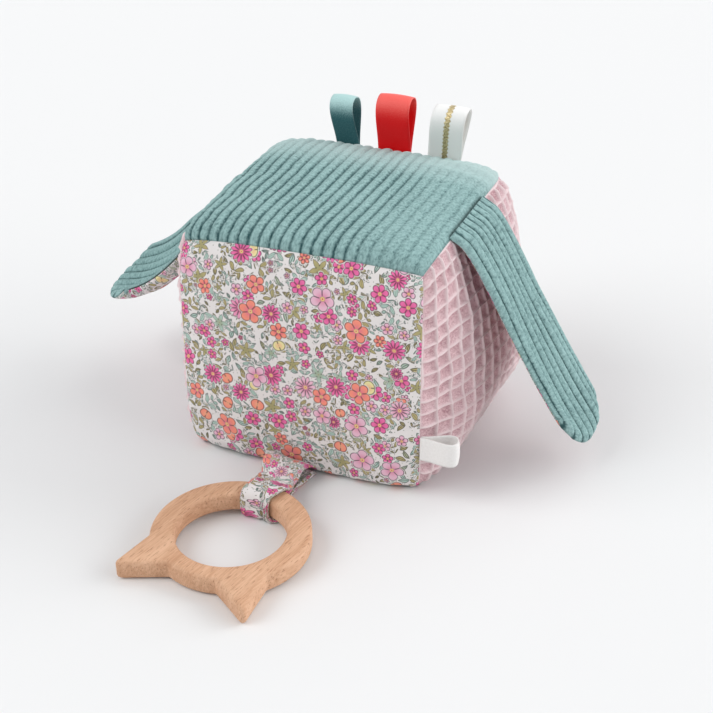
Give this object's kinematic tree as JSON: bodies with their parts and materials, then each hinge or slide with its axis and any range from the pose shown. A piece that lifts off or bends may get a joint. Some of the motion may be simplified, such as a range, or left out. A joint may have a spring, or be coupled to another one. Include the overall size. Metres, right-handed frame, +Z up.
{
  "type": "soft fabric activity block",
  "caption": "Soft stuffed activity block for a baby, with padded ears, ribbon loops, a blank label and a wooden teether ring on a fabric strap.",
  "frame": {"origin": "middle of the flat under the bottom panel, on the surface that the block rests on", "axes": "+Z up, -Y towards the front with the printed panel and the ring, +X to the viewer's right"},
  "size_m": [0.2781, 0.2535, 0.1514],
  "materials": {
    "corduroy": "wide-wale teal corduroy",
    "waffle": "pale pink waffle cotton",
    "cotton": "printed cotton with small flowers on white",
    "fibre": "white polyester fibre",
    "plastic": "satin",
    "steel": "bright",
    "teal_satin": "satin ribbon",
    "red_satin": "satin ribbon",
    "white_satin": "satin ribbon, the loop with a gold stripe",
    "label_tape": "plain woven tape",
    "beech": "bare, sanded beech"
  },
  "bodies": {
    "block": {"top_panel": "corduroy", "bottom_panel": "corduroy", "front_panel": "cotton", "back_panel": "cotton", "right_panel": "waffle", "left_panel": "waffle", "filling_lower": "fibre", "filling_upper": "fibre", "rattle_shell_lower": "plastic", "rattle_shell_upper": "plastic"},
    "rattle_beads": {"rattle_bead_1": "steel", "rattle_bead_2": "steel", "rattle_bead_3": "steel"},
    "right_ear": {"right_ear_outer": "corduroy", "right_ear_wadding": "fibre", "right_ear_lining": "cotton"},
    "left_ear": {"left_ear_outer": "corduroy", "left_ear_wadding": "fibre", "left_ear_lining": "cotton"},
    "teal_loop": {"teal_ribbon": "teal_satin"},
    "red_loop": {"red_ribbon": "red_satin"},
    "white_loop": {"white_ribbon": "white_satin"},
    "label": {"label_loop": "label_tape"},
    "strap": {"strap": "cotton"},
    "ring": {"teether_ring": "beech"}
  },
  "joints": [
    {"name": "right_ear_flap", "type": "hinge", "parent": "block", "child": "right_ear", "pos_m": [0.06341, -0.0048, 0.1223], "axis": [0, -1, 0], "range_deg": [0, 150], "stiffness_Nm_per_rad": 0.12, "springref_deg": 1.72},
    {"name": "left_ear_flap", "type": "hinge", "parent": "block", "child": "left_ear", "pos_m": [-0.06125, -0.0048, 0.1183], "axis": [0, 1, 0], "range_deg": [-8, 130], "stiffness_Nm_per_rad": 0.12, "springref_deg": 1.72},
    {"name": "teal_loop_bend", "type": "hinge", "parent": "block", "child": "teal_loop", "pos_m": [-0.024, 0.06308, 0.12144], "axis": [1, 0, 0], "range_deg": [-75, 60], "stiffness_Nm_per_rad": 0.01},
    {"name": "red_loop_bend", "type": "hinge", "parent": "block", "child": "red_loop", "pos_m": [0.0018, 0.06315, 0.1215], "axis": [1, 0, 0], "range_deg": [-75, 60], "stiffness_Nm_per_rad": 0.01},
    {"name": "white_loop_bend", "type": "hinge", "parent": "block", "child": "white_loop", "pos_m": [0.029, 0.06302, 0.12138], "axis": [1, 0, 0], "range_deg": [-75, 60], "stiffness_Nm_per_rad": 0.01},
    {"name": "label_bend", "type": "hinge", "parent": "block", "child": "label", "pos_m": [0.06371, -0.06588, 0.029], "axis": [0, 0, 1], "range_deg": [-100, 12], "stiffness_Nm_per_rad": 0.01},
    {"name": "strap_lift", "type": "hinge", "parent": "block", "child": "strap", "pos_m": [0.0005, -0.0652, 0.00235], "axis": [-1, 0, 0], "range_deg": [0, 33]},
    {"name": "ring_turn", "type": "hinge", "parent": "strap", "child": "ring", "pos_m": [-0.0048, -0.1337, 0.00182], "axis": [0, -0.0375, 0.9993], "range_deg": [-90, 90]},
    {"name": "bead_shake", "type": "slide", "parent": "block", "child": "rattle_beads", "axis": [0, 0, 1], "range_m": [0, 0.022]}
  ]
}
